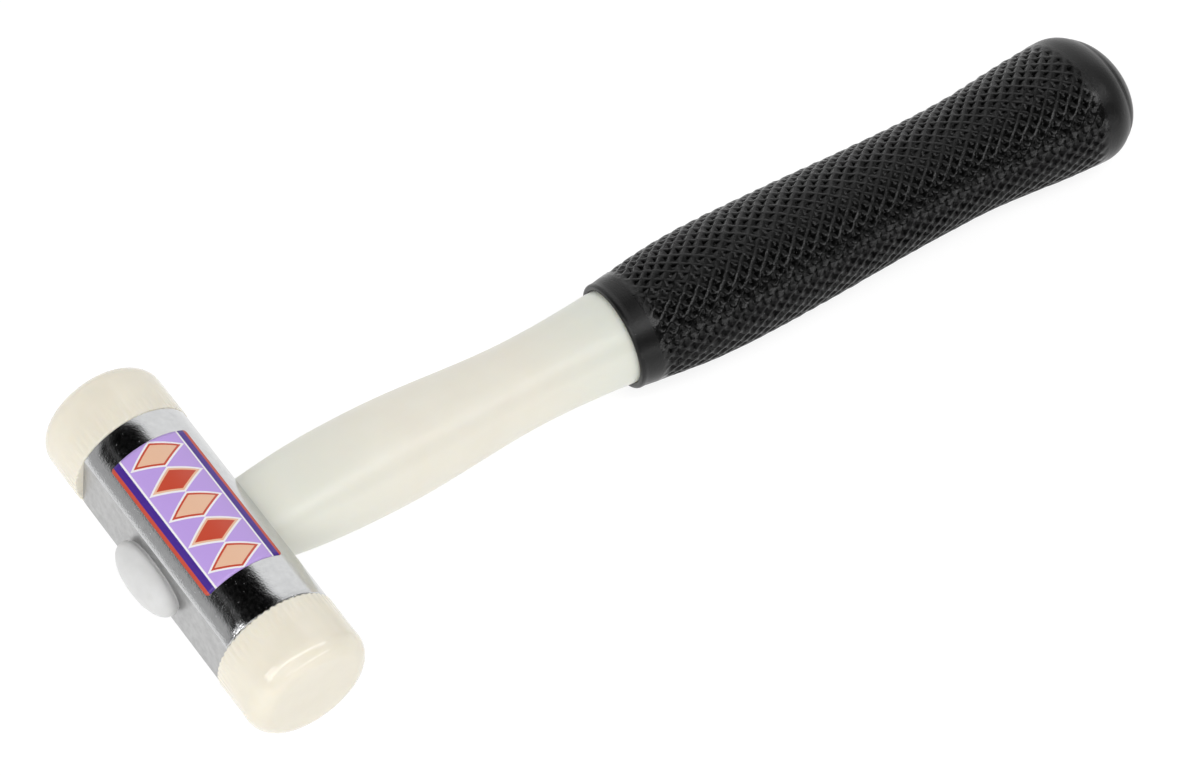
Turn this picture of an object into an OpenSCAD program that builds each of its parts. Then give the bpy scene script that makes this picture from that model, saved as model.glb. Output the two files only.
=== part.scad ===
// Soft face hammer lying on its side.
// X runs along the head, Y from the head to the butt of the handle, Z up from the surface it lies on.
// Distances along the handle are measured from the axis of the head.

/* [Head] */
// Diameter of the round head and of its faces
head_d = 32; // [29:0.5:38]
// Length of the metal body between the faces
body_l = 61.6; // [58:0.2:72]
// Distance of the front and back flats from the head axis
flat_off = 13.7; // [12:0.1:14]
// Bevel on the metal edge at each end
body_bevel = 0.5; // [0.2:0.1:1]
// Length of the handle eye along the head
eye_l = 19; // [15:0.5:20]
// Height of the handle eye
eye_h = 9; // [7:0.5:9.5]
// Depth of the threaded socket in each end of the body
socket_l = 16; // [15:0.5:17]

/* [Striking faces] */
// Length of each face beyond the metal
face_l = 16.9; // [15:0.1:22]
// Rounding of the striking rim
face_rim_r = 5; // [1:0.2:6]
// Finger flutes round each face
flute_n = 56; // [36:1:60]
// Length of a flute from the metal
flute_l = 8; // [5:0.5:10]
// Depth of a flute
flute_depth = 0.25; // [0.15:0.05:0.45]
// Radius of a flute
flute_r = 0.8; // [0.5:0.05:0.8]

/* [Face studs] */
// Thread diameter of a stud
stud_d = 14; // [10:0.5:16]
// Length of stud in the head
stud_head_l = 14; // [8:0.5:14.5]
// Length of stud in the face
stud_face_l = 10; // [6:0.5:11]
// Bevel on both ends of a stud
stud_bevel = 1; // [0.5:0.1:2]
// Room past the end of a stud in the face
stud_relief = 1; // [0.5:0.1:2]
// Radial clearance of the threads
thread_fit = 0.05; // [0.02:0.01:0.1]

/* [Handle] */
// Width of the neck at the head
neck_w = 21.6; // [20:0.2:24]
// Thickness of the neck at the head
neck_t = 16.6; // [14:0.2:17]
// Squareness of the neck, 2 being an ellipse
neck_power = 2.6; // [2:0.1:4]
// Width of the belly
belly_w = 27.4; // [24:0.2:32]
// Thickness of the belly
belly_t = 23.6; // [20:0.2:28]
// Distance of the belly from the head axis
belly_y = 49; // [40:1:58]
// Width of the waist
waist_w = 23; // [20:0.2:25]
// Thickness of the waist
waist_t = 20.4; // [18:0.2:22]
// Distance of the waist from the head axis
waist_y = 93; // [80:1:102]
// Width of the core inside the grip
core_w = 25.6; // [23:0.2:26]
// Thickness of the core inside the grip
core_t = 22.4; // [20:0.2:23]
// Distance of the core's end from the head axis
core_y = 264; // [240:1:268]
// Clearance of the tang in the eye
tang_fit = 0.05; // [0.02:0.01:0.1]
// Depth of the tang's end behind the front flat
tang_set = 0.4; // [0.2:0.1:1]

/* [Locking button] */
// Length of the button along the head
button_l = 22.6; // [21:0.2:26]
// Height of the button
button_h = 11.2; // [10.6:0.2:14]
// How far the button stands off the front flat
button_t = 6.8; // [5:0.2:8]
// Rounding of the button's rim
button_r = 3.6; // [1:0.2:4]
// Inset of the button's foot
foot_in = 0.4; // [0.2:0.1:0.5]
// Height of the button's foot
foot_h = 0.5; // [0.3:0.1:1]
// Length of the button's stem along the head
stem_l = 12; // [8:0.5:13]
// Height of the button's stem
stem_h = 4; // [3:0.2:5]
// Depth of the button's stem in the tang
stem_depth = 12; // [8:0.5:16]
// Clearance of the stem in the tang
stem_fit = 0.05; // [0.02:0.01:0.1]

/* [Grip] */
// Distance of the grip's mouth from the head axis
mouth_y = 118.5; // [112:0.5:122]
// Width of the collar at the mouth
collar_w = 28.6; // [28:0.2:31]
// Thickness of the collar at the mouth
collar_t = 25.2; // [24.8:0.2:28]
// Flare of the lip at the mouth
lip_flare = 0.4; // [0.1:0.1:0.8]
// Length of the lip
lip_l = 1.6; // [1:0.2:2.5]
// Width of the front swell
swell_w = 35.2; // [32:0.2:38]
// Thickness of the front swell
swell_t = 30.2; // [28:0.2:32]
// Distance of the front swell from the head axis
swell_y = 153; // [140:1:165]
// Width where the hand closes
hand_w = 32; // [30.5:0.2:35]
// Thickness where the hand closes
hand_t = 27.6; // [26.5:0.2:30]
// Distance of the hand's place from the head axis
hand_y = 226; // [205:1:240]
// Width of the butt
butt_w = 37.2; // [34:0.2:40]
// Thickness of the butt
butt_t = 32; // [29:0.2:32]
// Distance from the head axis at which the butt starts to round
rim_y = 269; // [268:0.5:285]
// Radius of the butt's rounding
rim_r = 10; // [8:0.5:14]
// Length of the butt's rounding up to its ridge
rim_l = 6.8; // [5:0.2:7.4]
// Rise of the domed end past the ridge
dome_h = 7.2; // [4:0.2:9]
// Fullness of the domed end, 0.5 being an ellipse and 1 a parabola
dome_power = 0.7; // [0.5:0.05:1]
// Distance of the first row of the diamond net from the head axis
net_start = 124.5; // [122:0.5:130]
// Distance of the last row of the diamond net from the head axis
net_end = 266; // [255:0.5:268]
// Diamonds of the net round the grip
net_n = 28; // [20:2:28]
// Diamonds of the net along the grip
net_rows = 33; // [20:1:34]
// Depth of each diamond's hollow
net_depth = 0.8; // [0.3:0.1:1]
// Step from the net down to the smooth butt
net_step = 0.4; // [0.2:0.1:0.6]
// Clearance of the core in the grip
sleeve_fit = 0.05; // [0.02:0.01:0.1]

/* [Label] */
// Length of the label along the head
label_l = 41.5; // [20:0.5:50]
// Offset of the label's middle from the middle of the head
label_x = -2.2; // [-4:0.1:4]
// Angle of the label's front edge from the front of the head
label_from = 46; // [44:1:60]
// Angle that the label covers
label_sweep = 79; // [30:1:80]
// Thickness of the label
label_t = 0.12; // [0.08:0.01:0.3]

/* [Hidden] */
$fn = 96;
// Extra reach of a cut past the face it opens
overrun = 1;
// Depth to which the tang is rooted in the neck
tang_root = 6;
head_r = head_d / 2;
axis_z = max(head_d, butt_t) / 2;
front_y = flat_off + button_t;
ridge_y = rim_y + rim_l;
butt_y = ridge_y + dome_h;
head_y = (front_y - butt_y) / 2;
stud_l = stud_head_l + stud_face_l;
columns = 2 * net_n;
neck_rows = 26;
rim_rows = 5;
dome_shares = [0.94, 0.8, 0.5, 0.1];
white_nylon = [0.9, 0.87, 0.8];
button_white = [0.84, 0.84, 0.83];
plate = [0.72, 0.73, 0.74];
steel = [0.5, 0.5, 0.52];
rubber = [0.04, 0.04, 0.04];
label_paper = [0.62, 0.52, 0.75];

// Blends from a to b as t goes from 0 to 1, steep first, steep last, or level at both ends.
function ease_out(a, b, t) = a + (b - a) * sin(90 * t);
function ease_in(a, b, t) = a + (b - a) * (1 - cos(90 * t));
function ease_both(a, b, t) = a + (b - a) * (1 - cos(180 * t)) / 2;
function along(y, from, to) = (y - from) / (to - from);

// Width or thickness of the bare handle at a distance from the head axis.
function shaft(y, neck, belly, waist, core) =
    y < belly_y ? ease_out(neck, belly, along(y, flat_off, belly_y))
    : y < waist_y ? ease_both(belly, waist, along(y, belly_y, waist_y))
    : ease_in(waist, core, along(y, waist_y, mouth_y));

// Width or thickness of the grip at a distance from the head axis.
function sleeve(y, collar, swell, hand, butt) =
    y < swell_y ? ease_out(collar, swell, along(y, mouth_y, swell_y))
    : y < hand_y ? ease_both(swell, hand, along(y, swell_y, hand_y))
    : ease_both(hand, butt, along(y, hand_y, rim_y));

// How far the butt has drawn in at a distance past the start of its rounding.
function rounding(y) = rim_r - sqrt(rim_r * rim_r - y * y);

// A row of a skin: place along the handle, half width, half thickness, squareness, depth of hollows.
function row(y, w, t, power = 2, hollow = 0) = [y, w / 2, t / 2, power, hollow];
function grip_row(y, grow = 0, hollow = 0) =
    row(y, sleeve(y, collar_w, swell_w, hand_w, butt_w) + 2 * grow,
        sleeve(y, collar_t, swell_t, hand_t, butt_t) + 2 * grow, 2, hollow);
function squared(v, power) = sign(v) * pow(abs(v), 2 / power);
function row_points(rows, j) = [
    for (k = [0 : columns - 1])
        let (r = rows[j], a = 360 * k / columns, cut = (j + k) % 2 * r[4])
            [(r[1] - cut) * squared(cos(a), r[3]), r[0], (r[2] - cut) * squared(sin(a), r[3])]
];

// Four corners of one cell of a skin.
function cell(j, k) = let (n = (k + 1) % columns)
    [j * columns + k, j * columns + n, (j + 1) * columns + n, (j + 1) * columns + k];

// Closed skin through rows, with every cell split along the ridge of the diamond net.
module skin(rows) {
    last = len(rows) - 1;
    points = [for (j = [0 : last], p = row_points(rows, j)) p];
    sides = [
        for (j = [0 : last - 1], k = [0 : columns - 1])
            let (c = cell(j, k), even = (j + k) % 2 == 0)
                each (even ? [[c[0], c[1], c[2]], [c[0], c[2], c[3]]] : [[c[0], c[1], c[3]], [c[1], c[2], c[3]]])
    ];
    start = [for (k = [columns - 1 : -1 : 0]) k];
    end = [for (k = [0 : columns - 1]) last * columns + k];
    polyhedron(points, concat([start], sides, [end]));
}

// Slot outline with round ends.
module slot(l, h) {
    square([l - h, h], center = true);
    translate([(l - h) / 2, 0]) circle(d = h);
    translate([(h - l) / 2, 0]) circle(d = h);
}

// Half outline of a turned piece with a rounded outer rim.
module rounded_half(r, l, round_r) {
    square([r, l - round_r]);
    square([r - round_r, l]);
    translate([r - round_r, l - round_r])
        intersection() {
            circle(r = round_r);
            square(round_r);
        }
}

// Turned bar with bevelled ends.
module bevelled_bar(r, l, bevel) {
    rotate_extrude()
        polygon([[0, 0], [r - bevel, 0], [r, bevel], [r, l - bevel], [r - bevel, l], [0, l]]);
}

// Places a piece in the head: its Z becomes the outward direction of that end.
module at_end(side) {
    translate([side * body_l / 2, head_y, axis_z]) rotate([0, side * 90, 0]) children();
}

// Places a piece of the handle, whose axis meets the axis of the head.
module on_handle() {
    translate([0, head_y, axis_z]) children();
}

module head_body() {
    color(plate)
        difference() {
            intersection() {
                at_end(-1) translate([0, 0, -body_l]) bevelled_bar(head_r, body_l, body_bevel);
                on_handle() cube([body_l + overrun, 2 * flat_off, head_d + overrun], center = true);
            }
            on_handle()
                rotate([90, 0, 0])
                    linear_extrude(head_d, center = true) slot(eye_l, eye_h);
            for (side = [-1, 1])
                at_end(side)
                    translate([0, 0, -socket_l]) cylinder(r = stud_d / 2 + thread_fit, h = socket_l + overrun);
        }
}

module strike_face(side) {
    color(white_nylon)
        at_end(side)
            difference() {
                rotate_extrude() rounded_half(head_r, face_l, face_rim_r);
                translate([0, 0, -overrun])
                    cylinder(r = stud_d / 2 + thread_fit, h = stud_face_l + stud_relief + overrun);
                for (k = [0 : flute_n - 1])
                    rotate(360 * k / flute_n)
                        translate([head_r - flute_depth + flute_r, 0, -overrun])
                            cylinder(r = flute_r, h = flute_l + overrun);
            }
}

module strike_face_right() {
    strike_face(1);
}

module strike_face_left() {
    strike_face(-1);
}

module face_stud(side) {
    color(steel)
        at_end(side) translate([0, 0, -stud_head_l]) bevelled_bar(stud_d / 2, stud_l, stud_bevel);
}

module face_stud_right() {
    face_stud(1);
}

module face_stud_left() {
    face_stud(-1);
}

module handle() {
    neck = [
        for (j = [0 : neck_rows])
            let (y = flat_off + (mouth_y - flat_off) * j / neck_rows)
                row(y, shaft(y, neck_w, belly_w, waist_w, core_w), shaft(y, neck_t, belly_t, waist_t, core_t),
                    y < belly_y ? ease_both(neck_power, 2, along(y, flat_off, belly_y)) : 2)
    ];
    color(white_nylon)
        on_handle()
            difference() {
                union() {
                    skin(concat(neck, [row(core_y, core_w, core_t)]));
                    translate([0, flat_off + tang_root, 0])
                        rotate([90, 0, 0])
                            linear_extrude(tang_root + 2 * flat_off - tang_set)
                                slot(eye_l - 2 * tang_fit, eye_h - 2 * tang_fit);
                }
                translate([0, stem_depth + stem_fit - flat_off, 0])
                    rotate([90, 0, 0])
                        linear_extrude(stem_depth + stem_fit + overrun)
                            slot(stem_l + 2 * stem_fit, stem_h + 2 * stem_fit);
            }
}

// Half outline of the button across its height.
module button_half() {
    square([button_h / 2 - foot_in, button_t - button_r]);
    translate([0, foot_h]) rounded_half(button_h / 2, button_t - foot_h, button_r);
}

module handle_end_cap() {
    straight = button_l - button_h;
    color(button_white)
        on_handle()
            translate([0, -flat_off, 0])
                rotate([90, 0, 0]) {
                    for (side = [-1, 1])
                        translate([side * straight / 2, 0, 0]) rotate_extrude() button_half();
                    rotate([90, 0, 90])
                        linear_extrude(straight, center = true) {
                            button_half();
                            mirror([1, 0]) button_half();
                        }
                    translate([0, 0, -stem_depth]) linear_extrude(stem_depth + foot_h) slot(stem_l, stem_h);
                }
}

module grip() {
    inside = [
        row(core_y + sleeve_fit, core_w + 2 * sleeve_fit, core_t + 2 * sleeve_fit),
        row(mouth_y, core_w + 2 * sleeve_fit, core_t + 2 * sleeve_fit)
    ];
    collar = [
        grip_row(mouth_y, lip_flare),
        grip_row(mouth_y + lip_l / 2, lip_flare),
        grip_row(mouth_y + lip_l),
        grip_row((mouth_y + lip_l + net_start) / 2)
    ];
    net = [
        for (j = [0 : 2 * net_rows])
            grip_row(net_start + (net_end - net_start) * j / (2 * net_rows), 0,
                     j == 0 || j == 2 * net_rows ? 0 : net_depth)
    ];
    band = [
        grip_row(net_end + net_step, -net_step),
        grip_row((net_end + rim_y) / 2, -net_step),
        grip_row(rim_y)
    ];
    rim = [
        for (j = [1 : rim_rows])
            let (y = rim_l * j / rim_rows)
                row(rim_y + y, butt_w - 2 * rounding(y), butt_t - 2 * rounding(y))
    ];
    ridge_w = butt_w - 2 * rounding(rim_l);
    ridge_t = butt_t - 2 * rounding(rim_l);
    dome = [
        for (s = dome_shares)
            row(ridge_y + dome_h * pow(1 - s * s, dome_power), ridge_w * s, ridge_t * s)
    ];
    color(rubber) on_handle() skin(concat(inside, collar, net, band, rim, dome));
}

module head_label() {
    color(label_paper)
        on_handle()
            rotate([90, 0, -90])
                rotate(label_from)
                    translate([0, 0, -label_x - label_l / 2])
                        rotate_extrude(angle = label_sweep) translate([head_r, 0]) square([label_t, label_l]);
}

head_body();
strike_face_right();
strike_face_left();
face_stud_right();
face_stud_left();
handle();
handle_end_cap();
grip();
head_label();
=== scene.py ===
"""Looks of a soft face hammer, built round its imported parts.

Every shape is worked out in millimetres from the middle of the head:
X runs along the head, Y down the handle and Z up. place() puts it in the frame, in metres.
"""

import math

import bmesh
import bpy
import numpy as np
from mathutils import Matrix, Vector


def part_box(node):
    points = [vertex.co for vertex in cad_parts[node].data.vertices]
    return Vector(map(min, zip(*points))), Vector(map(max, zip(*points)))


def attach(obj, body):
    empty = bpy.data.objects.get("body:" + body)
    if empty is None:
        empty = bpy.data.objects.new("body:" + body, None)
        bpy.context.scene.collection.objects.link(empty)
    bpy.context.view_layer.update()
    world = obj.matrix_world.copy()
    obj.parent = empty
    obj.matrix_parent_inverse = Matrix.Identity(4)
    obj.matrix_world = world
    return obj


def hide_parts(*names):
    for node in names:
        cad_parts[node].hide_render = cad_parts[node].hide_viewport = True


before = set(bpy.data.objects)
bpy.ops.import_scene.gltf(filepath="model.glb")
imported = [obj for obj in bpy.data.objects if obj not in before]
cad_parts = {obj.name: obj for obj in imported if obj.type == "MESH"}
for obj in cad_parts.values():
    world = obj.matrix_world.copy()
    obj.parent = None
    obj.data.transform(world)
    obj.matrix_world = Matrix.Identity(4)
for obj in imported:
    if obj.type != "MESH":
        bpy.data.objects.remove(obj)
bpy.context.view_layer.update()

MM = 0.001
HEAD_CENTRE = sum((np.array(corner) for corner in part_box("head_body"))) / 2


def span(node):
    """Lowest and highest corner of a node, in millimetres from the middle of the head."""
    low, high = (np.array(corner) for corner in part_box(node))
    return (low - HEAD_CENTRE) / MM, (high - HEAD_CENTRE) / MM


# Head
BODY_HALF, FLAT_OFF = span("head_body")[1][:2]
HEAD_R = span("strike_face_right")[1][2]
END_ROLL_L = 2.6
END_ROLL = 0.12
END_BEVEL = 0.25
CREASE_R = 0.7
SOCKET_L = 16
SOCKET_BEVEL = 0.6
THREAD_FIT = 0.05
FLAT_STEPS = 12
CREASE_STEPS = 10
BOW_STEPS = 40
ROLL_STEPS = 10

# Striking faces
FACE_L = span("strike_face_right")[1][0] - BODY_HALF
FACE_RIM_R = 5
FACE_EDGE_R = 0.35
FLUTES = 56
FLUTE_L = 9
FLUTE_DEPTH = 0.11
FLUTE_STEPS = 8
NOTCH_DEPTH = 0.4
NOTCH_L = 0.5
LEAST_NOTCH = 0.2
WEAR_SEED = 2
FACE_EDGE_ROWS = 5
FACE_WALL_ROWS = 28
WALL_CROWDING = 1.6
FACE_RIM_ROWS = 16
FACE_END_SHARES = (0.66, 0.33)

# Face studs
STUD_IN = BODY_HALF - span("face_stud_right")[0][0]
STUD_OUT = span("face_stud_right")[1][0] - BODY_HALF
STUD_R = span("face_stud_right")[1][2]
STUD_BEVEL = 1
STUD_RELIEF = 1
THREAD_PITCH = 2
THREAD_DEPTH = 1.1
CREST_SHARE = 0.1

# Handle: width and thickness of its sections, and their distances from the head axis
NECK = np.array([21.6, 16.6])
NECK_POWER = 2.6
BELLY = np.array([27.4, 23.6])
BELLY_Y = 49
WAIST = np.array([23, 20.4])
WAIST_Y = 93
CORE = np.array([25.6, 22.4])
CORE_Y = span("handle")[1][1]
SLEEVE_FIT = 0.05

# Locking button
BUTTON_L, BUTTON_H = (span("handle_end_cap")[1] - span("handle_end_cap")[0])[[0, 2]]
BUTTON_T = -FLAT_OFF - span("handle_end_cap")[0][1]
BUTTON_X = 0.6
BUTTON_POWER = 2.1
BUTTON_WALL = 2.2
FOOT_IN = 0.7
FOOT_H = 0.7
FOOT_BEVEL = 0.15
FOOT_RISE = 0.4
BUTTON_FULLNESS = 0.8
BUTTON_ROWS = 24

# Grip: width and thickness of its sections, and their distances from the head axis
MOUTH_Y, BUTT_Y = span("grip")[0][1], span("grip")[1][1]
COLLAR = np.array([28.6, 25.2])
LIP_FLARE = 0.2
LIP_L = 2.2
LIP_R = 0.5
MOUTH_SKEW = 3
MOUTH_TURN = 215
MOUTH_REACH = 0.7
SKEW_L = 20
SWELL = np.array([35.2, 30.2])
SWELL_Y = 153
HAND = np.array([32, 27.6])
HAND_Y = 226
BUTT = np.array([37.2, 32])
RIM_Y = 269
RIM_R = 10
RIM_L = 6.8
RIDGE_R = 0.25
DOME_POWER = 0.7
LIP_ROWS = 13
COLLAR_ROWS = 22
BAND_ROWS = 14
DOME_ROWS = 20
NET_START = 124.5
NET_END = 266
NET_ROUND = 28
NET_ALONG = 33
NET_STEPS = 6
NET_DEPTH = 0.8
NET_FADE = 1.5
RIDGE_SHARE = 0.12
GROOVE_SHARE = 0.1
SADDLE_SHARE = 0.38
UNEVEN = 0.22
UNEVEN_SEED = 1
JITTER = 0.5
JITTER_SEED = 2

# Label, with angles round the head from its front
LABEL_LOW, LABEL_HIGH = span("head_label")[0][0], span("head_label")[1][0]
LABEL_FROM = 46
LABEL_SWEEP = 79
LABEL_T = 0.12
LABEL_CORNER = 0.8

# Bends that stay crisp on the pieces, in degrees
USUAL_CRISP = 40
HEAD_CRISP = 30
ROUND_CRISP = 60
NET_CRISP = 26

# Studio: light levels, the dark opening's aim and edge in degrees,
# and softboxes by direction from the hammer, width and height in metres, and watts
STUDIO_FRONT = 0.48
STUDIO_GREY = 0.40
STUDIO_RIGHT = 0.45
STRIP_LIGHT = 0.24
OPENING_AIM = (0.266, -0.373, 0.888)
OPENING_EDGE = (63, 59)
STUDIO_LIGHT = 1.07
LIGHT_REACH = 1.3
SOFTBOXES = (
    ("overhead_strip", (0.36, -0.05, 0.93), 2.4, 0.28, 8.8),
    ("overhead", (0.05, 0.40, 0.91), 0.7, 0.6, 1.4),
    ("left", (-0.92, -0.10, 0.35), 0.6, 0.5, 0.8),
    ("front", (0.05, -0.85, 0.50), 0.8, 0.5, 4.8),
    ("fill", (0.50, -0.55, 0.67), 1.3, 1.3, 4.4),
    ("right_strip", (0.93, 0.10, 0.25), 1.6, 0.08, 2.8),
)

# Camera and picture
PICTURE = (1181, 776)
SENSOR = 36
LENS = 124
VIEW_AZIMUTH = 46.07
VIEW_ELEVATION = 52.76
VIEW_ROLL = 10.07
VIEW_DEPTH = 0.953
HEAD_PIXEL = (203.07, 547.55)


def place(points):
    """Points in the frame, in metres."""
    return HEAD_CENTRE + MM * np.asarray(points, dtype=float)


# Curves


def share(value, start, end):
    """How far value has come from start to end, from 0 to 1."""
    return np.clip((value - start) / (end - start), 0, 1)


def ease_out(a, b, t):
    return a + (b - a) * np.sin(np.pi / 2 * t)


def ease_in(a, b, t):
    return a + (b - a) * (1 - np.cos(np.pi / 2 * t))


def ease_both(a, b, t):
    return a + (b - a) * (1 - np.cos(np.pi * t)) / 2


def shaft(y):
    """Width and thickness of the bare handle."""
    y = y[:, None]
    neck = ease_out(NECK, BELLY, share(y, FLAT_OFF, BELLY_Y))
    waist = ease_both(BELLY, WAIST, share(y, BELLY_Y, WAIST_Y))
    core = ease_in(WAIST, CORE, share(y, WAIST_Y, MOUTH_Y))
    return np.where(y < BELLY_Y, neck, np.where(y < WAIST_Y, waist, core))


def sleeve(y):
    """Width and thickness of the grip."""
    y = y[:, None]
    swell = ease_out(COLLAR, SWELL, share(y, MOUTH_Y, SWELL_Y))
    hand = ease_both(SWELL, HAND, share(y, SWELL_Y, HAND_Y))
    butt = ease_both(HAND, BUTT, share(y, HAND_Y, RIM_Y))
    return np.where(y < SWELL_Y, swell, np.where(y < HAND_Y, hand, butt))


def around(columns):
    """Angles of the columns of a skin."""
    return np.linspace(0, 2 * np.pi, columns, endpoint=False)


def ovals(y, size, columns, power=2.0, hollow=0.0):
    """Rings of rounded sections across the handle, sunk by hollow."""
    angle = around(columns)
    size = np.asarray(size)
    half_w = size[:, :1] / 2 - hollow
    half_t = size[:, 1:] / 2 - hollow
    exponent = 2 / np.broadcast_to(power, len(y))[:, None]
    x = half_w * np.sign(np.cos(angle)) * np.abs(np.cos(angle)) ** exponent
    z = half_t * np.sign(np.sin(angle)) * np.abs(np.sin(angle)) ** exponent
    return np.stack([x, np.broadcast_to(y[:, None], x.shape), z], axis=-1)


# Meshes


def skin(rings, start, end, split=None):
    """Points and faces of a closed skin through rings, with a point at each end.

    split says which diagonal cuts each cell in two:
    1 from its first corner, 2 from its second, 0 neither.
    """
    rows, columns = rings.shape[:2]
    corner = np.arange(rows * columns).reshape(rows, columns)
    beside = np.roll(corner, -1, axis=1)
    cells = np.stack([corner[:-1], beside[:-1], beside[1:], corner[1:]], axis=-1)
    if split is None:
        split = np.zeros(cells.shape[:2], dtype=int)
    faces = cells[split == 0].tolist()
    for kind, halves in ((1, ((0, 1, 2), (0, 2, 3))), (2, ((0, 1, 3), (1, 2, 3)))):
        for half in halves:
            faces += cells[split == kind][:, half].tolist()
    first = rows * columns
    faces += [(first, b, a) for a, b in zip(corner[0].tolist(), beside[0].tolist())]
    faces += [(first + 1, a, b) for a, b in zip(corner[-1].tolist(), beside[-1].tolist())]
    return np.vstack([rings.reshape(-1, 3), [start], [end]]), faces


def piece(name, shape, material, body, node, sharp=USUAL_CRISP):
    """A piece that stands for a node and rides on its body.

    Edges bent more than sharp degrees stay crisp.
    """
    points, faces = shape
    mesh = bpy.data.meshes.new(name)
    mesh.from_pydata(place(points).tolist(), [], faces)
    work = bmesh.new()
    work.from_mesh(mesh)
    bmesh.ops.recalc_face_normals(work, faces=work.faces)
    work.to_mesh(mesh)
    work.free()
    mesh.shade_smooth()
    mesh.set_sharp_from_angle(angle=math.radians(sharp))
    mesh.materials.append(material)
    made = bpy.data.objects.new(name, mesh)
    bpy.context.scene.collection.objects.link(made)
    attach(made, body)
    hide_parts(node)
    return made


# Materials


class Surface:
    """A node material whose patterns are sized in millimetres on the piece."""

    def __init__(self, name, **sockets):
        self.material = bpy.data.materials.new(name)
        self.material.use_nodes = True
        self.tree = self.material.node_tree
        self.shader = self.tree.nodes["Principled BSDF"]
        self.coordinates = self.tree.nodes.new("ShaderNodeTexCoord").outputs
        for socket, value in sockets.items():
            self.shader.inputs[socket.replace("_", " ")].default_value = value

    def link(self, output, socket):
        self.tree.links.new(output, socket)

    def feed(self, socket, output):
        """Drives one socket of the shader."""
        self.link(output, self.shader.inputs[socket])

    def noise(self, size, detail=2, stretch=(1, 1, 1)):
        """Noise with patches of a size, drawn out along an axis by stretch."""
        mapping = self.tree.nodes.new("ShaderNodeMapping")
        mapping.inputs["Scale"].default_value = [1 / s for s in stretch]
        texture = self.tree.nodes.new("ShaderNodeTexNoise")
        texture.inputs["Scale"].default_value = 1 / (size * MM)
        texture.inputs["Detail"].default_value = detail
        self.link(self.coordinates["Object"], mapping.inputs["Vector"])
        self.link(mapping.outputs["Vector"], texture.inputs["Vector"])
        return texture.outputs["Fac"]

    def part(self, output, axis):
        """One axis of a vector."""
        split = self.tree.nodes.new("ShaderNodeSeparateXYZ")
        self.link(output, split.inputs["Vector"])
        return split.outputs[axis]

    def along(self, axis):
        """Millimetres from the middle of the head along an axis."""
        spot = self.part(self.coordinates["Object"], axis)
        metres = self.math("SUBTRACT", spot, HEAD_CENTRE["XYZ".index(axis)])
        return self.math("DIVIDE", metres, MM)

    def facing(self, axis):
        """How squarely the surface faces along an axis, either way."""
        return self.math("ABSOLUTE", self.part(self.coordinates["Normal"], axis))

    def math(self, operation, a, b=0.0):
        """One sum on values or outputs."""
        node = self.tree.nodes.new("ShaderNodeMath")
        node.operation = operation
        for socket, value in zip(node.inputs, (a, b)):
            if isinstance(value, (int, float)):
                socket.default_value = value
            else:
                self.link(value, socket)
        return node.outputs["Value"]

    def ramp(self, factor, *stops, step=False):
        """Colours or grey levels at places along a factor."""
        node = self.tree.nodes.new("ShaderNodeValToRGB")
        node.color_ramp.interpolation = "CONSTANT" if step else "LINEAR"
        elements = node.color_ramp.elements
        while len(elements) < len(stops):
            elements.new(1)
        for element, (position, colour) in zip(elements, stops):
            element.position = position
            levels = colour if isinstance(colour, tuple) else 3 * (colour,)
            element.color = (*levels, 1)
        self.link(factor, node.inputs["Fac"])
        return node.outputs["Color"]

    def blend(self, factor, a, b):
        """Colour a where factor is 0 and b where it is 1."""
        node = self.tree.nodes.new("ShaderNodeMix")
        node.data_type = "RGBA"
        self.link(factor, node.inputs["Factor"])
        for socket, value in ((node.inputs[6], a), (node.inputs[7], b)):
            if isinstance(value, tuple):
                socket.default_value = (*value, 1)
            else:
                self.link(value, socket)
        return node.outputs[2]

    def bump(self, height, depth, strength=1.0):
        """Relief of a depth in millimetres."""
        node = self.tree.nodes.new("ShaderNodeBump")
        node.inputs["Strength"].default_value = strength
        node.inputs["Distance"].default_value = depth * MM
        self.link(height, node.inputs["Height"])
        self.feed("Normal", node.outputs["Normal"])


def plated_metal():
    """Bright plating with a mottled grain, satin on the flats."""
    surface = Surface("plated_metal", Metallic=1.0)
    cloud = surface.noise(1.6, 3)
    grain = surface.noise(0.45, 3)
    flat = surface.ramp(surface.facing("Y"), (0.95, 0.0), (0.985, 1.0))
    bright = surface.ramp(surface.noise(0.7, 3), (0.3, 0.10), (0.70, 0.18), (0.76, 0.40))
    satin = surface.ramp(grain, (0.3, 0.36), (0.7, 0.46))
    plate = surface.ramp(cloud, (0.3, (0.57, 0.575, 0.58)), (0.7, (0.62, 0.625, 0.63)))
    ground = surface.ramp(cloud, (0.3, (0.43, 0.43, 0.43)), (0.7, (0.52, 0.52, 0.52)))
    surface.feed("Base Color", surface.blend(flat, plate, ground))
    surface.feed("Roughness", surface.blend(flat, bright, satin))
    surface.bump(grain, 0.026)
    return surface.material


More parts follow.
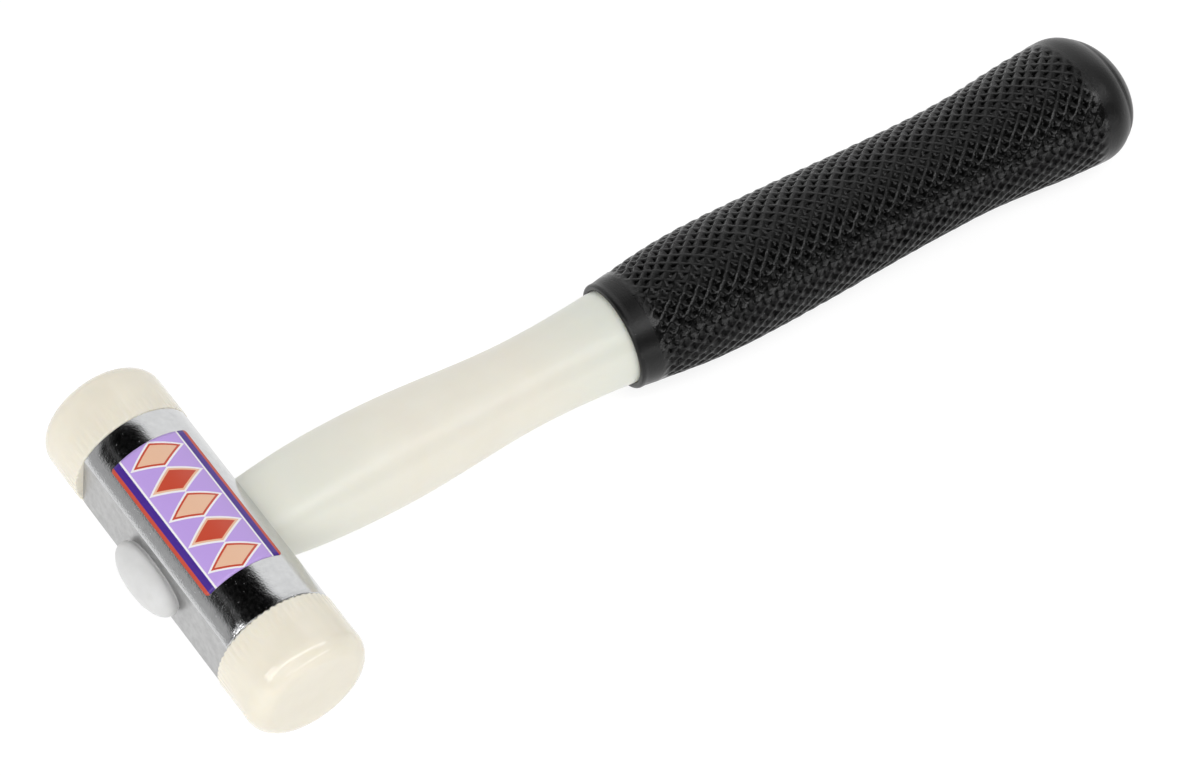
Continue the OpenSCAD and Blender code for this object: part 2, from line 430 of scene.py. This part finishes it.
def moulded_nylon(name, dark, light, streak, gloss, ends=None):
    """Milky nylon with soft clouds, faint flow marks along streak and a roughness of about gloss.

    ends is the darker, cooler colour that a handle takes on towards the head and the grip: painted
    shade where the head and the grip shade it, with a cooler tint of the nylon there.
    """
    surface = Surface(
        name,
        Subsurface_Weight=0.2,
        Subsurface_Radius=(1.0, 0.8, 0.5),
        Subsurface_Scale=3 * MM,
        Specular_IOR_Level=0.5,
    )
    patches = surface.noise(9, 2)
    streaks = surface.math("MULTIPLY", surface.noise(2.2, 2, streak), 0.25)
    cloud = surface.math("ADD", patches, streaks)
    haze = surface.noise(0.6, 3)
    colour = surface.ramp(cloud, (0.4, dark), (0.85, light))
    if ends:
        way = surface.math("DIVIDE", surface.along("Y"), MOUTH_Y)
        # painted shade towards the head and the grip, with a cooler tint of the nylon there
        painted_end_shade = surface.ramp(way, (0.22, 0.8), (0.45, 0.0), (0.75, 0.0), (0.96, 1.0))
        colour = surface.blend(painted_end_shade, colour, ends)
    surface.feed("Base Color", colour)
    surface.feed("Roughness", surface.ramp(haze, (0.3, 0.85 * gloss), (0.7, 1.15 * gloss)))
    surface.bump(haze, 0.003, 0.5)
    return surface.material


def button_plastic():
    """Neutral white plastic with a soft gloss."""
    surface = Surface(
        "button_plastic",
        Specular_IOR_Level=0.3,
        Subsurface_Weight=0.25,
        Subsurface_Radius=(1.0, 1.0, 0.9),
        Subsurface_Scale=2 * MM,
    )
    cloud = surface.noise(2.5, 3)
    colour = surface.ramp(cloud, (0.3, (0.67, 0.67, 0.665)), (0.7, (0.705, 0.705, 0.70)))
    surface.feed("Base Color", colour)
    surface.feed("Roughness", surface.ramp(cloud, (0.3, 0.28), (0.7, 0.38)))
    surface.bump(surface.noise(0.4, 3), 0.006, 0.5)
    return surface.material


def grip_rubber():
    """Black rubber, glossy on the net and satin on the smooth ends, with some dust. Its pits have
    painted shade: a darker colour and a weaker reflection than the ridges.
    """
    surface = Surface("grip_rubber")
    grain = surface.noise(0.45, 3)
    dust = surface.ramp(surface.noise(0.4, 2), (0.73, 0.0), (0.79, 1.0))
    hollow = surface.tree.nodes.new("ShaderNodeAttribute")
    hollow.attribute_name = "hollow"
    # painted shade: the colour darkens and the reflection weakens towards the bottom of the pits
    painted_pit_shade = surface.ramp(hollow.outputs["Fac"], (0.1, 0.004), (0.6, 0.001))
    sheen = surface.ramp(hollow.outputs["Fac"], (0.04, 0.37), (0.4, 0.19))
    beyond = surface.math("SUBTRACT", surface.along("Y"), NET_END)
    before = surface.math("SUBTRACT", NET_START, surface.along("Y"))
    smooth = surface.ramp(surface.math("MAXIMUM", beyond, before), (0.0, 0.0), (1.0, 1.0))
    sheen = surface.blend(smooth, sheen, (0.34, 0.34, 0.34))
    netted = surface.ramp(grain, (0.3, 0.13), (0.7, 0.20))
    polished = surface.ramp(grain, (0.3, 0.29), (0.7, 0.35))
    surface.feed("Base Color", surface.blend(dust, painted_pit_shade, (0.12, 0.12, 0.11)))
    surface.feed("Specular IOR Level", sheen)
    surface.feed("Roughness", surface.blend(smooth, netted, polished))
    surface.bump(grain, 0.06)
    return surface.material


def thread_steel():
    """Turned steel with fine tool marks."""
    surface = Surface("thread_steel", Metallic=1.0)
    marks = surface.noise(0.3, 3, (0.2, 4, 4))
    colour = surface.ramp(marks, (0.3, (0.36, 0.36, 0.37)), (0.7, (0.48, 0.48, 0.49)))
    surface.feed("Base Color", colour)
    surface.feed("Roughness", surface.ramp(marks, (0.3, 0.26), (0.7, 0.40)))
    surface.bump(marks, 0.01)
    return surface.material


def label_print():
    """Printed film: a row of lozenges between two bands."""
    purple, lilac = (0.055, 0.012, 0.26), (0.50, 0.34, 0.76)
    red, peach, white = (0.56, 0.07, 0.035), (0.80, 0.50, 0.34), (0.86, 0.84, 0.86)
    lozenges, bluntness = 5, 1.45
    surface = Surface("label_print", Specular_IOR_Level=0.45)
    along = surface.part(surface.coordinates["UV"], "X")
    off_middle = surface.math("SUBTRACT", surface.part(surface.coordinates["UV"], "Y"), 0.5)
    across = surface.math("ABSOLUTE", off_middle)
    cell = surface.math("MULTIPLY", along, lozenges)
    beside = surface.math("ABSOLUTE", surface.math("SUBTRACT", surface.math("FRACT", cell), 0.5))
    reach = surface.math("ADD", surface.math("MULTIPLY", across, bluntness), beside)
    odd = surface.math("MODULO", surface.math("FLOOR", cell), 2)
    stripes = ((0.0, lilac), (0.35, white), (0.375, purple), (0.455, red))
    bands = surface.ramp(across, *stripes, step=True)
    inside = surface.math("LESS_THAN", reach, 0.5)
    rimmed = surface.ramp(reach, (0.0, peach), (0.36, red), (0.43, white), step=True)
    turned = surface.ramp(reach, (0.0, red), (0.36, peach), (0.43, white), step=True)
    figure = surface.blend(odd, rimmed, turned)
    surface.feed("Base Color", surface.blend(inside, bands, figure))
    haze = surface.noise(0.8, 3)
    surface.feed("Roughness", surface.ramp(haze, (0.3, 0.30), (0.7, 0.42)))
    surface.bump(haze, 0.004, 0.5)
    return surface.material


def floor_paper():
    """White studio paper."""
    surface = Surface("floor_paper", Specular_IOR_Level=0.0, Roughness=1.0, Emission_Strength=0.86)
    surface.feed("Base Color", surface.ramp(surface.noise(40, 2), (0.3, 0.22), (0.7, 0.24)))
    surface.shader.inputs["Emission Color"].default_value = (1, 1, 1, 1)
    return surface.material


# Pieces


def head_outline():
    """Section of the head: a circle with two flats and rounded creases.

    It runs from the middle of the back flat over the top and round.
    """
    reach = HEAD_R - CREASE_R
    turn = math.acos((FLAT_OFF - CREASE_R) / reach)
    rise = reach * math.sin(turn)
    flat = [(FLAT_OFF, s * rise) for s in np.linspace(0, 1, FLAT_STEPS, endpoint=False)]
    crease = [
        (FLAT_OFF - CREASE_R + CREASE_R * math.cos(a), rise + CREASE_R * math.sin(a))
        for a in np.linspace(0, turn, CREASE_STEPS, endpoint=False)
    ]
    bow = [
        (HEAD_R * math.cos(a), HEAD_R * math.sin(a))
        for a in np.linspace(turn, np.pi / 2, BOW_STEPS, endpoint=False)
    ]
    quarter = np.array(flat + crease + bow)
    half = np.vstack([quarter, [(0, HEAD_R)], quarter[:0:-1] * (-1, 1)])
    return np.vstack([half, -half])


def head_shape():
    outline = head_outline()
    reach = np.linalg.norm(outline, axis=1)
    bore = STUD_R + THREAD_FIT
    end = [
        (BODY_HALF - SOCKET_L, bore),
        (BODY_HALF - SOCKET_BEVEL, bore),
        (BODY_HALF, bore + SOCKET_BEVEL),
        (BODY_HALF, HEAD_R - END_ROLL - END_BEVEL),
    ]
    for u in np.linspace(1, 0, ROLL_STEPS):
        end.append((BODY_HALF - END_BEVEL - END_ROLL_L * (1 - u), HEAD_R - END_ROLL * u**2))
    stations = [(-x, r) for x, r in end] + end[::-1]
    rings = []
    for x, r in stations:
        section = outline * np.minimum(1, r / reach)[:, None]
        rings.append(np.column_stack([np.full(len(section), x), section]))
    bottom = BODY_HALF - SOCKET_L
    return skin(np.array(rings), (-bottom, 0, 0), (bottom, 0, 0))


def turned(profile, radii, side):
    """Skin of a turned piece at one end of the head.

    profile gives places beyond the metal, and radii the radii round each place.
    """
    angle = around(radii.shape[1])
    x = np.broadcast_to(side * (BODY_HALF + np.asarray(profile)[:, None]), radii.shape)
    rings = np.stack([x, radii * np.cos(angle), side * radii * np.sin(angle)], axis=-1)
    return skin(rings, (x[0, 0], 0, 0), (x[-1, 0], 0, 0))


def face_shape(side):
    """Nylon face with shallow flutes and unevenly worn notches beside the metal."""
    columns = FLUTES * FLUTE_STEPS
    bore = STUD_R + THREAD_FIT
    straight = FACE_L - FACE_RIM_R
    inner = [(STUD_OUT + STUD_RELIEF, bore), (SOCKET_BEVEL, bore), (0, bore + SOCKET_BEVEL)]
    edge = [
        (FACE_EDGE_R * (1 - math.cos(a)), HEAD_R - FACE_EDGE_R * (1 - math.sin(a)))
        for a in np.linspace(0, np.pi / 2, FACE_EDGE_ROWS)
    ]
    wall = [
        (FACE_EDGE_R + (straight - FACE_EDGE_R) * u**WALL_CROWDING, HEAD_R)
        for u in np.linspace(0, 1, FACE_WALL_ROWS)[1:]
    ]
    rim = [
        (straight + FACE_RIM_R * math.sin(a), HEAD_R - FACE_RIM_R * (1 - math.cos(a)))
        for a in np.linspace(0, np.pi / 2, FACE_RIM_ROWS)[1:]
    ]
    end = [(FACE_L, (HEAD_R - FACE_RIM_R) * s) for s in FACE_END_SHARES]
    profile, radii = np.array(inner + edge + wall + rim + end).T
    scallop = (1 - np.cos(FLUTES * around(columns))) / 2
    outside = radii > HEAD_R - 2 * FACE_EDGE_R
    flute = FLUTE_DEPTH * outside * ease_both(1, 0, share(profile, 0, FLUTE_L))
    notch = NOTCH_DEPTH * outside * ease_both(1, 0, share(profile, 0, NOTCH_L))
    draw = np.random.default_rng(WEAR_SEED + side)
    worn = np.repeat(draw.uniform(LEAST_NOTCH, 1, FLUTES), FLUTE_STEPS)
    relief = flute[:, None] * scallop + notch[:, None] * worn * scallop**2
    return turned(profile, radii[:, None] - relief, side)


def stud_shape(side):
    columns, turn_rows = 72, 14
    length = STUD_IN + STUD_OUT
    profile = np.linspace(-STUD_IN, STUD_OUT, int(length / THREAD_PITCH * turn_rows))
    phase = (profile[:, None] / THREAD_PITCH - around(columns) / (2 * np.pi)) % 1
    flank = np.clip((np.abs(2 * phase - 1) - CREST_SHARE) / (1 - 2 * CREST_SHARE), 0, 1)
    taper = np.minimum(profile + STUD_IN, STUD_OUT - profile)[:, None]
    radii = np.minimum(STUD_R - THREAD_DEPTH * flank, STUD_R - STUD_BEVEL + taper)
    return turned(profile, radii, side)


def handle_shape():
    rows, columns = 120, 112
    bare = np.linspace(FLAT_OFF, MOUTH_Y, rows)
    y = np.append(bare, CORE_Y)
    size = np.vstack([shaft(bare), [CORE]])
    power = ease_both(NECK_POWER, 2, share(y, FLAT_OFF, BELLY_Y))
    return skin(ovals(y, size, columns, power), (0, FLAT_OFF, 0), (0, CORE_Y, 0))


def button_shape():
    columns = 96
    foot = [
        (FOOT_IN, 0),
        (FOOT_IN, FOOT_H - FOOT_BEVEL),
        (FOOT_IN - FOOT_BEVEL, FOOT_H),
        (0, FOOT_H + FOOT_RISE),
    ]
    rings = [(BUTTON_L / 2 - inset, BUTTON_H / 2 - inset, height) for inset, height in foot]
    for a in np.linspace(0, np.pi / 2, BUTTON_ROWS, endpoint=False):
        s = math.cos(a) ** BUTTON_FULLNESS
        height = BUTTON_WALL + (BUTTON_T - BUTTON_WALL) * math.sin(a)
        rings.append((BUTTON_L / 2 * s, BUTTON_H / 2 * s, height))
    half_l, half_h, height = np.array(rings).T
    size = 2 * np.column_stack([half_l, half_h])
    shape = ovals(-FLAT_OFF - height, size, columns, BUTTON_POWER) + (BUTTON_X, 0, 0)
    return skin(shape, (BUTTON_X, -FLAT_OFF, 0), (BUTTON_X, -FLAT_OFF - BUTTON_T, 0))


def net_hollow():
    """Depth of the net as a share at each point of its grid, and the diagonal of each ridge.

    One family of ridges is nearly level, and the other sags between its crossings.
    """
    along = np.arange(2 * NET_ALONG * NET_STEPS + 1)
    around_steps = np.arange(2 * NET_ROUND * NET_STEPS)
    row, s = np.divmod(along[:, None], NET_STEPS)
    column, t = np.divmod(around_steps[None, :], NET_STEPS)
    even = (row + column) % 2 == 0
    away = np.where(even, np.abs(s - t), np.abs(s + t - NET_STEPS)) / NET_STEPS
    depth = share(away, RIDGE_SHARE, 1)
    saddle = np.sin(np.pi * s / NET_STEPS) * np.sin(np.pi * t / NET_STEPS)
    groove = GROOVE_SHARE * ease_both(1, 0, share(away, 0, RIDGE_SHARE)) * saddle
    depth += np.where(even, groove, SADDLE_SHARE * saddle * (1 - depth))
    ends = np.minimum(along, along[::-1])[:, None] / NET_STEPS
    return depth * share(ends, 0, NET_FADE), np.where(even, 1, 2)[:-1]


def unevenness(rows, columns, seed):
    """Random shares at the net's crossings, spread smoothly over its fine grid."""
    lift = np.random.default_rng(seed).uniform(0, 1, (rows // NET_STEPS + 1, columns // NET_STEPS))
    row, s = np.divmod(np.arange(rows)[:, None], NET_STEPS)
    column, t = np.divmod(np.arange(columns)[None, :], NET_STEPS)
    below, beside = np.minimum(row + 1, len(lift) - 1), (column + 1) % lift.shape[1]
    s, t = s / NET_STEPS, t / NET_STEPS
    near = lift[row, column] * (1 - t) + lift[row, beside] * t
    return near * (1 - s) + (lift[below, column] * (1 - t) + lift[below, beside] * t) * s


def grip_shape():
    hollow, ridge = net_hollow()
    columns = hollow.shape[1]
    bore = CORE + 2 * SLEEVE_FIT
    lip = np.linspace(-np.pi / 2, np.pi / 2, LIP_ROWS)
    lip_y = MOUTH_Y + LIP_R * (1 - np.cos(lip))
    flared = COLLAR + 2 * LIP_FLARE
    lip_size = bore + (flared - bore) * (1 + np.sin(lip[:, None])) / 2
    collar_y = np.linspace(MOUTH_Y + LIP_R, NET_START, COLLAR_ROWS)[1:-1]
    flare = LIP_FLARE * ease_both(1, 0, share(collar_y, MOUTH_Y + LIP_R, MOUTH_Y + LIP_L))
    collar_size = sleeve(collar_y) + 2 * flare[:, None]
    net_y = np.linspace(NET_START, NET_END, len(hollow))
    band_y = np.linspace(NET_END, RIM_Y, BAND_ROWS)[1:]
    past = np.linspace(0, RIM_L, BAND_ROWS)[1:]
    rim_y = RIM_Y + past
    rim_size = BUTT - 2 * (RIM_R - np.sqrt(RIM_R**2 - past[:, None] ** 2))
    dome = np.cos(np.linspace(0, np.pi / 2, DOME_ROWS)[1:-1])
    dome_y = rim_y[-1] + (BUTT_Y - rim_y[-1]) * (1 - dome**2) ** DOME_POWER
    dome_size = rim_size[-1] * dome[:, None]
    rim_size[-1] += 2 * RIDGE_R
    y = np.concatenate([[CORE_Y + SLEEVE_FIT], lip_y, collar_y, net_y, band_y, rim_y, dome_y])
    net_size, band_size = sleeve(net_y), sleeve(band_y)
    size = np.vstack([[bore], lip_size, collar_size, net_size, band_size, rim_size, dome_size])
    before = 1 + len(lip_y) + len(collar_y)
    depth = np.zeros((len(y), columns))
    netted = slice(before, before + len(net_y))
    inside = share(np.minimum(net_y - NET_START, NET_END - net_y), 0, LIP_L)[:, None]
    depth[netted] = hollow + UNEVEN * inside * unevenness(*hollow.shape, UNEVEN_SEED)
    split = np.zeros((len(y) - 1, columns), dtype=int)
    split[before : before + len(ridge)] = ridge
    rings = ovals(y, size, columns, hollow=NET_DEPTH * depth)
    slant = (1 + np.cos(around(columns) - math.radians(MOUTH_TURN))) / 2
    skewed = share(y, MOUTH_Y + SKEW_L, MOUTH_Y)[:, None]
    rings[..., 1] += (MOUTH_SKEW * slant - MOUTH_REACH) * skewed
    shift = unevenness(*hollow.shape, JITTER_SEED) - 0.5
    rings[netted, :, 1] += JITTER * inside * shift
    return skin(rings, (0, CORE_Y + SLEEVE_FIT, 0), (0, BUTT_Y, 0), split), depth


def label_shape():
    """Film on the head, with its outer face, and how far each point lies along and across it."""
    rows, columns = 60, 48
    arc = HEAD_R * math.radians(LABEL_SWEEP)
    distance = arc * (1 - np.cos(np.pi * np.linspace(0, 1, rows))) / 2
    edge = np.clip(LABEL_CORNER - np.minimum(distance, arc - distance), 0, None)
    trim = LABEL_CORNER - np.sqrt(LABEL_CORNER**2 - edge**2)
    middle, half = (LABEL_LOW + LABEL_HIGH) / 2, (LABEL_HIGH - LABEL_LOW) / 2
    x = middle + (half - trim)[:, None] * np.linspace(-1, 1, columns)
    angle = np.radians(LABEL_FROM) + distance[:, None] / HEAD_R + 0 * x
    radius = HEAD_R + LABEL_T
    points = np.stack([x, -radius * np.cos(angle), radius * np.sin(angle)], axis=-1)
    corner = np.arange(rows * columns).reshape(rows, columns)
    cells = np.stack([corner[:-1, :-1], corner[:-1, 1:], corner[1:, 1:], corner[1:, :-1]], axis=-1)
    spread = np.stack([(x - middle) / (2 * half) + 0.5, distance[:, None] / arc + 0 * x], axis=-1)
    return (points.reshape(-1, 3), cells.reshape(-1, 4).tolist()), spread.reshape(-1, 2)


def build_pieces():
    face_nylon = moulded_nylon(
        "face_nylon",
        dark=(0.81, 0.76, 0.64),
        light=(0.85, 0.80, 0.68),
        streak=(6, 1, 1),
        gloss=0.12,
    )
    handle_nylon = moulded_nylon(
        "handle_nylon",
        dark=(0.81, 0.775, 0.675),
        light=(0.83, 0.80, 0.70),
        streak=(1, 8, 1),
        gloss=0.34,
        # painted shade towards the head and the grip, with a cooler tint of the nylon there
        ends=(0.755, 0.765, 0.685),
    )
    steel = thread_steel()
    metal = plated_metal()
    piece("head", head_shape(), metal, "hammer", "head_body", HEAD_CRISP)
    for name, side in (("right", 1), ("left", -1)):
        body, node = name + "_face", "strike_face_" + name
        piece("striking_" + body, face_shape(side), face_nylon, body, node)
        body, node = name + "_stud", "face_stud_" + name
        piece("threaded_" + body, stud_shape(side), steel, body, node)
    shape = handle_shape()
    piece("shaft", shape, handle_nylon, "hammer", "handle", ROUND_CRISP)
    button, node = button_plastic(), "handle_end_cap"
    shape = button_shape()
    piece("locking_button", shape, button, "hammer", node, ROUND_CRISP)
    shape, depth = grip_shape()
    rubber = grip_rubber()
    grip = piece("netted_grip", shape, rubber, "hammer", "grip", NET_CRISP)
    hollow = grip.data.attributes.new("hollow", "FLOAT", "POINT")
    hollow.data.foreach_set("value", np.append(depth.ravel(), (0.0, 0.0)))
    shape, spread = label_shape()
    label = piece("label_film", shape, label_print(), "hammer", "head_label")
    layer = label.data.uv_layers.new(name="UVMap")
    corners = np.empty(len(label.data.loops), dtype=int)
    label.data.loops.foreach_get("vertex_index", corners)
    layer.data.foreach_set("uv", spread[corners].ravel())
    film = label.modifiers.new("film", "SOLIDIFY")
    film.thickness = LABEL_T * MM
    film.offset = -1


# Studio


def build_floor():
    reach = 3.0
    mesh = bpy.data.meshes.new("floor")
    corners = [(-reach, -reach, 0), (reach, -reach, 0), (reach, reach, 0), (-reach, reach, 0)]
    mesh.from_pydata(corners, [], [(0, 1, 2, 3)])
    mesh.materials.append(floor_paper())
    floor = bpy.data.objects.new("floor", mesh)
    bpy.context.scene.collection.objects.link(floor)


def build_world():
    """A grey studio, brightest at the back left. A pale strip crosses its dark opening."""
    world = bpy.data.worlds.new("studio")
    bpy.context.scene.world = world
    world.use_nodes = True
    tree = world.node_tree
    direction = tree.nodes.new("ShaderNodeTexCoord").outputs["Generated"]

    def level(axis, *stops):
        toward = tree.nodes.new("ShaderNodeVectorMath")
        toward.operation = "DOT_PRODUCT"
        toward.inputs[1].default_value = Vector(axis).normalized()
        ramp = tree.nodes.new("ShaderNodeValToRGB")
        while len(ramp.color_ramp.elements) < len(stops):
            ramp.color_ramp.elements.new(1)
        for element, (position, grey) in zip(ramp.color_ramp.elements, stops):
            element.position = position
            element.color = (grey, grey, grey, 1)
        tree.links.new(direction, toward.inputs[0])
        tree.links.new(toward.outputs["Value"], ramp.inputs["Fac"])
        return ramp.outputs["Color"]

    def mixed(kind, a, b):
        mix = tree.nodes.new("ShaderNodeMix")
        mix.data_type = "RGBA"
        mix.blend_type = kind
        mix.inputs["Factor"].default_value = 1
        tree.links.new(a, mix.inputs[6])
        tree.links.new(b, mix.inputs[7])
        return mix.outputs[2]

    back = ((0.0, STUDIO_FRONT), (0.25, STUDIO_GREY), (0.5, STUDIO_GREY), (0.7, 1.0))
    walls = level((-0.3, 0.9, 0.3), *back)
    edge = [math.cos(math.radians(angle)) for angle in OPENING_EDGE]
    opening = level(OPENING_AIM, (edge[0], 1.0), (edge[1], 0.0))
    strip = level((0, 0, 1), (0.585, 0.0), (0.605, STRIP_LIGHT), (0.64, STRIP_LIGHT), (0.66, 0.0))
    side = level((-1, 0, 0), (0.2, STUDIO_RIGHT), (0.36, 1.0))
    light = mixed("MULTIPLY", mixed("MULTIPLY", walls, side), mixed("LIGHTEN", opening, strip))
    background = tree.nodes["Background"]
    background.inputs["Strength"].default_value = STUDIO_LIGHT
    tree.links.new(light, background.inputs["Color"])


def build_softboxes():
    """Area lights round the hammer."""
    for name, direction, width, height, watts in SOFTBOXES:
        data = bpy.data.lights.new(name, "AREA")
        data.shape = "RECTANGLE"
        data.size, data.size_y = width, height
        data.energy = watts
        light = bpy.data.objects.new(name, data)
        out = Vector(direction).normalized()
        turn = out.to_track_quat("Z", "Y").to_matrix().to_4x4()
        light.matrix_world = Matrix.Translation(LIGHT_REACH * out) @ turn
        bpy.context.scene.collection.objects.link(light)


def build_camera():
    """Camera at the photograph's viewing angle, with the head's middle at its pixel."""
    azimuth, elevation = math.radians(VIEW_AZIMUTH), math.radians(VIEW_ELEVATION)
    back = Vector((
        math.sin(azimuth) * math.cos(elevation),
        -math.cos(azimuth) * math.cos(elevation),
        math.sin(elevation),
    ))
    roll = Matrix.Rotation(math.radians(VIEW_ROLL), 3, "Z")
    turn = back.to_track_quat("Z", "Y").to_matrix() @ roll
    across = VIEW_DEPTH * SENSOR / LENS / PICTURE[0]
    right = (PICTURE[0] / 2 - HEAD_PIXEL[0]) * across
    up = (HEAD_PIXEL[1] - PICTURE[1] / 2) * across
    offset = Vector((right, up, VIEW_DEPTH))
    data = bpy.data.cameras.new("camera")
    data.sensor_fit = "HORIZONTAL"
    data.sensor_width = SENSOR
    data.lens = LENS
    camera = bpy.data.objects.new("camera", data)
    camera.matrix_world = Matrix.Translation(Vector(HEAD_CENTRE) + turn @ offset) @ turn.to_4x4()
    bpy.context.scene.collection.objects.link(camera)
    bpy.context.scene.camera = camera


build_pieces()
build_floor()
build_world()
build_softboxes()
build_camera()
bpy.context.scene.view_settings.view_transform = "Standard"
